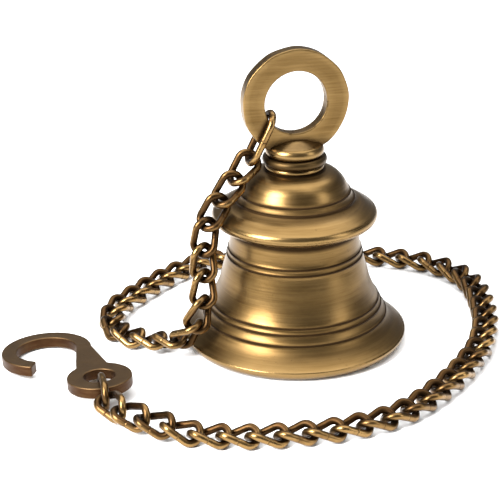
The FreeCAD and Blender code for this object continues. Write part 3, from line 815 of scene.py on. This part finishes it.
class BELL_OT_chain(bpy.types.Operator):
    """Bend the chain's links, the long link on the ring and the link in the hook"""
    bl_idname = "hanging_bell.chain"
    bl_label = "Chain"

    def execute(self, context):
        n = context.scene.chain_sizes
        t, darkness = tints()
        wire = finish("chain_wire", worn_wire, t["chain"], t["chain_worn"], t["patina_and_shade"], darkness)
        for number, node in enumerate(sorted(k for k in frame["nodes"] if k.startswith("chain_link"))):
            links_for(node, n.half, n.side, n.twist, n.wire, wire, "chain_brass", number)
        links_for("ring_link", n.ring_half, n.ring_side, 0.0, n.wire, wire, "chain_brass", 101)
        links_for("hook_link", n.hook_half, n.hook_side, 0.0, n.wire, wire, "chain_brass", 102)
        return {"FINISHED"}


def hook_outline(h):
    """The hook's edge, from its tip round the outside of the bend, along the neck, round the
    disc and back along the inside: circles r(cos a, sin a) joined by straight sides, then
    blurred a little so that the neck runs in smoothly."""
    start, neck, tip = (math.radians(a) for a in (131.4, 8.0, 259.0))
    middle = np.array([h.reach, 0.0])

    def at(radius, angle):
        return middle + radius * np.stack([np.cos(angle - start), np.sin(angle - start)], -1)

    outer = at(h.throat + h.strap, np.linspace(tip, neck, 160))
    inner = at(h.throat, np.linspace(neck, tip, 130))
    root = at(h.throat + h.strap / 2, np.array(neck))
    side = np.array([-root[1], root[0]]) / np.linalg.norm(root)
    ends = [side * 0.72 * h.disc, -side * 0.55 * h.disc]
    low, high = sorted(ends, key=lambda p: np.linalg.norm(p - inner[0]))
    bend_in = inner[0] + (low - inner[0]) * 0.42 - (outer[-1] - inner[0]) * 0.03
    bend_out = outer[-1] + (high - outer[-1]) * 0.45

    def meets(a, b):
        """Angle where the line from a to b crosses the disc's edge."""
        d = b - a
        p, q = (a @ d) / (d @ d), (a @ a - h.disc ** 2) / (d @ d)
        point = a + d * (-p - math.sqrt(p * p - q))
        return math.atan2(point[1], point[0])

    a, b = meets(bend_out, high), meets(bend_in, low)
    way = 1 if (b - a) % (2 * math.pi) > math.pi else -1
    turn = (b - a) % (2 * math.pi) if way > 0 else -((a - b) % (2 * math.pi))
    angle = a + np.linspace(0, turn, 120)
    disc = h.disc * np.stack([np.cos(angle), np.sin(angle)], -1)
    loop = np.vstack([outer, [bend_out], disc, [bend_in], inner])
    step = 0.2 * MM
    return soften(even(loop, step), step, 0.55 * MM)[::3]


class BELL_OT_hook(bpy.types.Operator):
    """Cut the flat hook with its bend, neck and eye"""
    bl_idname = "hanging_bell.hook"
    bl_label = "Hook"

    def execute(self, context):
        h = context.scene.hook_sizes
        t, darkness = tints()
        triangles = separate("hook")[0]
        points = np.unique(np.round(triangles.reshape(-1, 3), 6), axis=0)
        outline = hook_outline(h)
        axes, eye = self.lie(points, triangles, h)
        curve = bpy.data.curves.new("hook_cut", "CURVE")
        curve.dimensions, curve.fill_mode = "2D", "BOTH"
        curve.extrude, curve.bevel_depth, curve.bevel_resolution = h.plate / 2 - h.edge, h.edge, 3
        curve.offset = -h.edge
        angle = np.linspace(0, 2 * math.pi, 72, endpoint=False)
        hole = h.hole * np.stack([np.cos(angle), np.sin(angle)], -1)
        for loop in (outline, hole):
            spline = curve.splines.new("POLY")
            spline.points.add(len(loop) - 1)
            spline.points.foreach_set("co", np.hstack([loop, np.zeros((len(loop), 1)),
                                                       np.ones((len(loop), 1))]).ravel())
            spline.use_cyclic_u = True
        flat = bpy.data.objects.new("hook_cut", curve)
        bpy.context.scene.collection.objects.link(flat)
        bpy.context.view_layer.update()
        mesh = bpy.data.meshes.new_from_object(flat.evaluated_get(bpy.context.evaluated_depsgraph_get()))
        bpy.data.objects.remove(flat)
        co = np.empty(len(mesh.vertices) * 3, np.float32)
        mesh.vertices.foreach_get("co", co)
        co = co.reshape(-1, 3).astype(float)
        if len(co) < 500:
            raise RuntimeError("the hook's outline didn't fill")
        rise = np.abs(co[:, 2]) / (h.plate / 2)
        edge = np.clip((1 - rise) / (h.edge / (h.plate / 2)) * 1.2, 0, 1)
        placed = eye + co @ axes
        mesh.vertices.foreach_set("co", placed.astype(np.float32).ravel())
        mesh.attributes.new("edge", "FLOAT", "POINT").data.foreach_set("value", edge.astype(np.float32))
        proud = np.clip(1 - np.abs(rise - 0.93) / 0.07, 0, 1)
        mesh.attributes.new("proud", "FLOAT", "POINT").data.foreach_set("value", proud.astype(np.float32))
        mesh.polygons.foreach_set("use_smooth", np.full(len(mesh.polygons), False))
        mesh.update()
        mesh.materials.clear()
        mesh.materials.append(finish("dull_hook_plate", dull_plate, t["hook"], t["hook_side"],
                                     t["patina_and_shade"], darkness))
        piece = bpy.data.objects.new("hook_plate", mesh)
        bpy.context.scene.collection.objects.link(piece)
        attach(piece, "hook")
        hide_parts("hook")
        return {"FINISHED"}

    def lie(self, points, triangles, h):
        """Where the plate lies: square to its two broad faces, its first axis from the eye's
        hole to the bend. The hole's middle is that of the points on its wall."""
        middle, rough = solid_frame(triangles)
        normal = rough[2] * np.sign(rough[2][2])
        corners = np.cross(triangles[:, 1] - triangles[:, 0], triangles[:, 2] - triangles[:, 0])
        area = np.linalg.norm(corners, axis=1)
        up = corners[np.argmax(area * (corners @ normal > 0.9 * area))]
        normal = up / np.linalg.norm(up)
        joint = [j for j in frame["joints"] if j["child"] == "hook"][0]
        pivot = np.array(joint["pos_m"])
        far = points[np.argmax(np.linalg.norm(points - pivot, axis=1))]
        along = far - pivot
        x = along - normal * (along @ normal)
        x /= np.linalg.norm(x)
        y = np.cross(normal, x)
        local = (points - middle) @ np.stack([x, y, normal]).T
        walls = local[np.abs(np.abs(local[:, 2]) - h.plate / 2) < 0.02 * MM]
        best, eye, turn = 1.0, None, 0.0
        guess = (pivot - middle) @ np.stack([x, y, normal]).T
        for a in np.linspace(0, 2 * math.pi, 73):
            for away in np.linspace(1, 6, 11) * MM:
                centre = guess[:2] + away * np.array([math.cos(a), math.sin(a)])
                ring = np.abs(np.linalg.norm(walls[:, :2] - centre, axis=1) - h.hole)
                score = np.sort(ring)[:24].mean()
                if score < best:
                    best, eye = score, centre
        near = walls[np.abs(np.linalg.norm(walls[:, :2] - eye, axis=1) - h.hole) < 0.5 * MM][:, :2]
        system = np.hstack([2 * near, np.ones((len(near), 1))])
        eye = np.linalg.lstsq(system, (near ** 2).sum(1), rcond=None)[0][:2]
        out = np.linalg.norm(walls[:, :2] - eye, axis=1)
        bend = walls[out > h.reach - 0.3 * MM][:, :2]
        score = 1e9
        for a in np.linspace(-0.6, 0.6, 241):
            centre = eye + h.reach * np.array([math.cos(a), math.sin(a)])
            off = np.linalg.norm(bend - centre, axis=1)
            miss = np.minimum(np.abs(off - h.throat), np.abs(off - h.throat - h.strap)).mean()
            if miss < score:
                score, turn = miss, a
        along = x * math.cos(turn) + y * math.sin(turn)
        return np.stack([along, np.cross(normal, along), normal]), middle + eye[0] * x + eye[1] * y


# ---------------------------------------------------------------- floor, light and camera

FLOOR_REACH = 3.0       # metres each way
FLOOR_BACK = 0.5        # how far the floor's middle stands behind the bell
CAMERA_AWAY = 0.7       # from the point that the camera turns about
CAMERA_HEIGHT = 0.03953  # of that point
CAMERA_PITCH = math.radians(22.5)
CAMERA_ASIDE = -0.0273  # how far the camera looks to the left, as a share of its distance
CAMERA_LENS = 117.51    # millimetres, on a 36 mm sensor
SKY = (0.75, 0.75, 0.76, 1)
SKY_STRENGTH = 0.32
# Each lamp: name, place, what it looks at, width, height, watts
LAMPS = [("key_softbox", (-0.62, -0.55, 0.62), (0, 0, 0.05), 0.42, 0.62, 31.0),
         ("top_softbox", (0.05, 0.25, 1.25), (0, 0, 0), 1.7, 1.5, 30.0),
         ("side_softbox", (0.85, -0.35, 0.45), (0, 0, 0.05), 0.3, 0.7, 3.0)]


def softbox(name, place, aim, wide, tall, power):
    """A white rectangular lamp, metres and watts, that looks from its place at the aim."""
    lamp = bpy.data.lights.new(name, "AREA")
    lamp.shape, lamp.size, lamp.size_y = "RECTANGLE", wide, tall
    lamp.energy = power
    thing = bpy.data.objects.new(name, lamp)
    bpy.context.scene.collection.objects.link(thing)
    point_at(thing, place, aim, (0, 0, 1))


def point_at(thing, place, aim, up):
    """Stands a camera or lamp at a place, looking down its own -Z to the aim: its columns are
    right = look x up, up = right x look, and back."""
    look = np.subtract(aim, place).astype(float)
    look /= np.linalg.norm(look)
    right = np.cross(look, up)
    right /= np.linalg.norm(right)
    rise = np.cross(right, look)
    matrix = np.eye(4)
    matrix[:3, :3] = np.stack([right, rise, -look], -1)
    matrix[:3, 3] = place
    thing.matrix_world = Matrix(matrix.tolist())


class BELL_OT_stage(bpy.types.Operator):
    """Lay the floor and set the lights and the camera"""
    bl_idname = "hanging_bell.stage"
    bl_label = "Floor, light and camera"

    def execute(self, context):
        t, _ = tints()
        low = CAD_BOX[0][2] - 0.0001
        rows = 24
        u = np.linspace(-FLOOR_REACH, FLOOR_REACH, rows)
        x, y = np.meshgrid(u, u, indexing="ij")
        verts = np.stack([x, y + FLOOR_BACK, np.full_like(x, low)], -1).reshape(-1, 3)
        faces = quads(rows, rows, False, False)[:, ::-1]
        mesh = bpy.data.meshes.new("floor")
        mesh.from_pydata(verts.tolist(), [], faces.tolist())
        mesh.materials.append(finish("pale_floor", pale_floor, t["floor"]))
        floor = bpy.data.objects.new("floor", mesh)
        context.scene.collection.objects.link(floor)
        for lamp in LAMPS:
            softbox(*lamp)
        world = bpy.data.worlds.new("studio")
        world.use_nodes = True
        world.node_tree.nodes["Background"].inputs[0].default_value = SKY
        world.node_tree.nodes["Background"].inputs[1].default_value = SKY_STRENGTH
        context.scene.world = world
        context.scene.view_settings.view_transform = "Standard"
        camera = bpy.data.cameras.new("camera")
        camera.sensor_width, camera.lens = 36.0, CAMERA_LENS
        thing = bpy.data.objects.new("camera", camera)
        context.scene.collection.objects.link(thing)
        level, rise = math.cos(CAMERA_PITCH), math.sin(CAMERA_PITCH)
        place = np.array([0, -CAMERA_AWAY * level, CAMERA_HEIGHT + CAMERA_AWAY * rise])
        look = np.array([CAMERA_ASIDE, level, -rise])
        point_at(thing, place, place + look, (0, rise, level))
        context.scene.camera = thing
        return {"FINISHED"}


class BELL_PT_panel(bpy.types.Panel):
    bl_label = "Hanging Bell"
    bl_idname = "BELL_PT_panel"
    bl_space_type = "VIEW_3D"
    bl_region_type = "UI"
    bl_category = "Bell"

    def draw(self, context):
        for operator in OPERATORS:
            self.layout.operator(operator.bl_idname)
        for key in GROUPS:
            box = self.layout.box()
            box.label(text=key.replace("_", " ").capitalize())
            group = getattr(context.scene, key)
            for name in type(group).__annotations__:
                box.prop(group, name)


OPERATORS = (BELL_OT_stage, BELL_OT_shell, BELL_OT_crown, BELL_OT_ring, BELL_OT_chain, BELL_OT_hook,
             BELL_OT_clapper)
GROUPS = {"bell_sizes": BellSizes, "crown_sizes": CrownSizes, "chain_sizes": ChainSizes,
          "hook_sizes": HookSizes, "bell_colours": BellColours}


def register():
    for cls in (*GROUPS.values(), *OPERATORS, BELL_PT_panel):
        bpy.utils.register_class(cls)
    for key, group in GROUPS.items():
        setattr(bpy.types.Scene, key, bpy.props.PointerProperty(type=group))


def unregister():
    for key in GROUPS:
        delattr(bpy.types.Scene, key)
    for cls in reversed((*GROUPS.values(), *OPERATORS, BELL_PT_panel)):
        bpy.utils.unregister_class(cls)


def main():
    register()
    ops = bpy.ops.hanging_bell
    for step in (ops.stage, ops.shell, ops.crown, ops.ring, ops.chain, ops.hook, ops.clapper):
        step()


if __name__ == "__main__":
    main()
